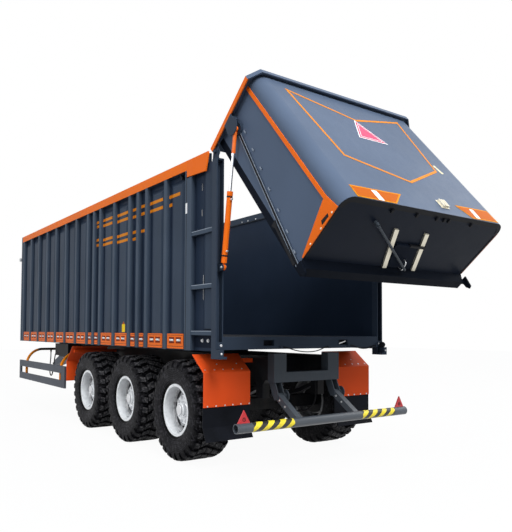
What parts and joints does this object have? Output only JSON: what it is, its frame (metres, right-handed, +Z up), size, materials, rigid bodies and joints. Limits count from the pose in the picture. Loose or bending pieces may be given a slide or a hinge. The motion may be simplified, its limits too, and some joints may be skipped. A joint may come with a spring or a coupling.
{
  "type": "push-off semi-trailer",
  "caption": "Long farm load trailer with ribbed walls, a push wall on a telescopic ram, axles under a box chassis and a deep rear tailgate raised by side cylinders.",
  "frame": {"origin": "centre of the base of the part's box, on the ground", "axes": "+Y towards the towing eye (direction of travel), +X to the right-hand side, +Z up"},
  "size_m": [2.55, 11.2834, 4.1541],
  "materials": {
    "anthracite": "satin blue-grey paint",
    "black_paint": "black paint",
    "cast_eye": "forged steel, painted",
    "chrome": "hard-chromed rod",
    "dark_floor": "worn dark paint",
    "galvanised": "galvanised steel",
    "orange": "glossy orange paint",
    "red_reflector": "red reflector plastic",
    "rubber": "black rubber sheet",
    "silver": "silver wheel paint",
    "tyre": "black tyre rubber"
  },
  "bodies": {
    "tailgate": {"tail_arms": "orange", "tail_frame": "anthracite", "tail_gussets": "orange", "tail_roof": "anthracite", "tail_shell": "anthracite", "tail_side_ribs": "anthracite", "hatch_guides": "galvanised", "hatch_lever": "galvanised"},
    "hatch": {"grain_hatch": "galvanised"},
    "tail_cylinder_right": {"tail_barrel_right": "orange"},
    "tail_piston_right": {"tail_rod_right": "chrome"},
    "tail_cylinder_left": {"tail_barrel_left": "orange"},
    "tail_piston_left": {"tail_rod_left": "chrome"},
    "bumper": {"bumper_bar": "anthracite", "bumper_reflectors": "red_reflector"},
    "shield": {"push_wall": "anthracite", "push_rod": "chrome"},
    "ram_stage_1": {"push_stage_1": "chrome"},
    "ram_stage_2": {"push_stage_2": "chrome"},
    "ram_stage_3": {"push_stage_3": "chrome"},
    "wheel_rear_right": {"tyre_rear_right": "tyre", "rim_rear_right": "silver"},
    "wheel_rear_left": {"tyre_rear_left": "tyre", "rim_rear_left": "silver"},
    "wheel_middle_right": {"tyre_middle_right": "tyre", "rim_middle_right": "silver"},
    "wheel_middle_left": {"tyre_middle_left": "tyre", "rim_middle_left": "silver"},
    "wheel_front_right": {"tyre_front_right": "tyre", "rim_front_right": "silver"},
    "wheel_front_left": {"tyre_front_left": "tyre", "rim_front_left": "silver"},
    "chassis": {"air_tanks": "black_paint", "axles": "black_paint", "body_floor": "dark_floor", "brake_hose": "rubber", "chassis_frame": "anthracite", "drawbar": "anthracite", "front_wall": "anthracite", "guard_brackets": "orange", "hinge_covers": "orange", "jack_leg": "anthracite", "jack_tube": "anthracite", "leaf_springs": "black_paint", "mud_flaps": "rubber", "mudguards": "orange", "push_barrel": "black_paint", "rear_frame": "anthracite", "rear_posts": "anthracite", "rear_sill": "anthracite", "side_guards": "anthracite", "side_walls": "anthracite", "sill_cable_left": "rubber", "sill_cable_right": "rubber", "spring_hangers": "black_paint", "tie_panels": "orange", "top_rails": "orange", "towing_eye": "cast_eye", "valve_box": "black_paint", "valve_hose": "rubber"}
  },
  "joints": [
    {"name": "tailgate_swing", "type": "hinge", "parent": "chassis", "child": "tailgate", "pos_m": [0, -3.71632, 3.457], "axis": [-1, 0, 0], "range_deg": [-41, 10]},
    {"name": "grain_hatch_slide", "type": "slide", "parent": "tailgate", "child": "hatch", "axis": [-0.4234, -0.6837, 0.5943], "range_m": [0, 0.15]},
    {"name": "tail_cylinder_right_swing", "type": "hinge", "parent": "chassis", "child": "tail_cylinder_right", "pos_m": [1.207, -3.87232, 2.19], "axis": [-1, 0, 0], "range_deg": [-3.56, 1.02]},
    {"name": "tail_piston_right_slide", "type": "slide", "parent": "tail_cylinder_right", "child": "tail_piston_right", "axis": [0, -0.1464, 0.9892], "range_m": [-0.2668, 0.0666]},
    {"name": "tail_cylinder_left_swing", "type": "hinge", "parent": "chassis", "child": "tail_cylinder_left", "pos_m": [-1.207, -3.87232, 2.19], "axis": [-1, 0, 0], "range_deg": [-3.56, 1.02]},
    {"name": "tail_piston_left_slide", "type": "slide", "parent": "tail_cylinder_left", "child": "tail_piston_left", "axis": [0, -0.1464, 0.9892], "range_m": [-0.2668, 0.0666]},
    {"name": "bumper_fold", "type": "hinge", "parent": "chassis", "child": "bumper", "pos_m": [0, -3.83232, 0.787], "axis": [-1, 0, 0], "range_deg": [0, 60]},
    {"name": "push_wall_slide", "type": "slide", "parent": "chassis", "child": "shield", "axis": [0, -1, 0], "range_m": [0, 5.72]},
    {"name": "ram_stage_1_slide", "type": "slide", "parent": "chassis", "child": "ram_stage_1", "axis": [0, -1, 0], "range_m": [0, 1.43]},
    {"name": "ram_stage_2_slide", "type": "slide", "parent": "chassis", "child": "ram_stage_2", "axis": [0, -1, 0], "range_m": [0, 2.86]},
    {"name": "ram_stage_3_slide", "type": "slide", "parent": "chassis", "child": "ram_stage_3", "axis": [0, -1, 0], "range_m": [0, 4.29]},
    {"name": "wheel_rear_right_spin", "type": "hinge", "parent": "chassis", "child": "wheel_rear_right", "pos_m": [1.025, -2.90432, 0.592], "axis": [-1, 0, 0], "continuous": true},
    {"name": "wheel_rear_left_spin", "type": "hinge", "parent": "chassis", "child": "wheel_rear_left", "pos_m": [-1.025, -2.90432, 0.592], "axis": [-1, 0, 0], "continuous": true},
    {"name": "wheel_middle_right_spin", "type": "hinge", "parent": "chassis", "child": "wheel_middle_right", "pos_m": [1.025, -1.46632, 0.592], "axis": [-1, 0, 0], "continuous": true},
    {"name": "wheel_middle_left_spin", "type": "hinge", "parent": "chassis", "child": "wheel_middle_left", "pos_m": [-1.025, -1.46632, 0.592], "axis": [-1, 0, 0], "continuous": true},
    {"name": "wheel_front_right_spin", "type": "hinge", "parent": "chassis", "child": "wheel_front_right", "pos_m": [1.025, -0.02832, 0.592], "axis": [-1, 0, 0], "continuous": true},
    {"name": "wheel_front_left_spin", "type": "hinge", "parent": "chassis", "child": "wheel_front_left", "pos_m": [-1.025, -0.02832, 0.592], "axis": [-1, 0, 0], "continuous": true}
  ],
  "couplings": [
    {"joint": "tail_cylinder_right_swing", "follows": "tailgate_swing", "ratio": 0.082},
    {"joint": "tail_piston_right_slide", "follows": "tailgate_swing", "m_per_rad": 0.37},
    {"joint": "tail_cylinder_left_swing", "follows": "tailgate_swing", "ratio": 0.082},
    {"joint": "tail_piston_left_slide", "follows": "tailgate_swing", "m_per_rad": 0.37},
    {"joint": "ram_stage_1_slide", "follows": "push_wall_slide", "ratio": 0.25},
    {"joint": "ram_stage_2_slide", "follows": "push_wall_slide", "ratio": 0.5},
    {"joint": "ram_stage_3_slide", "follows": "push_wall_slide", "ratio": 0.75}
  ]
}
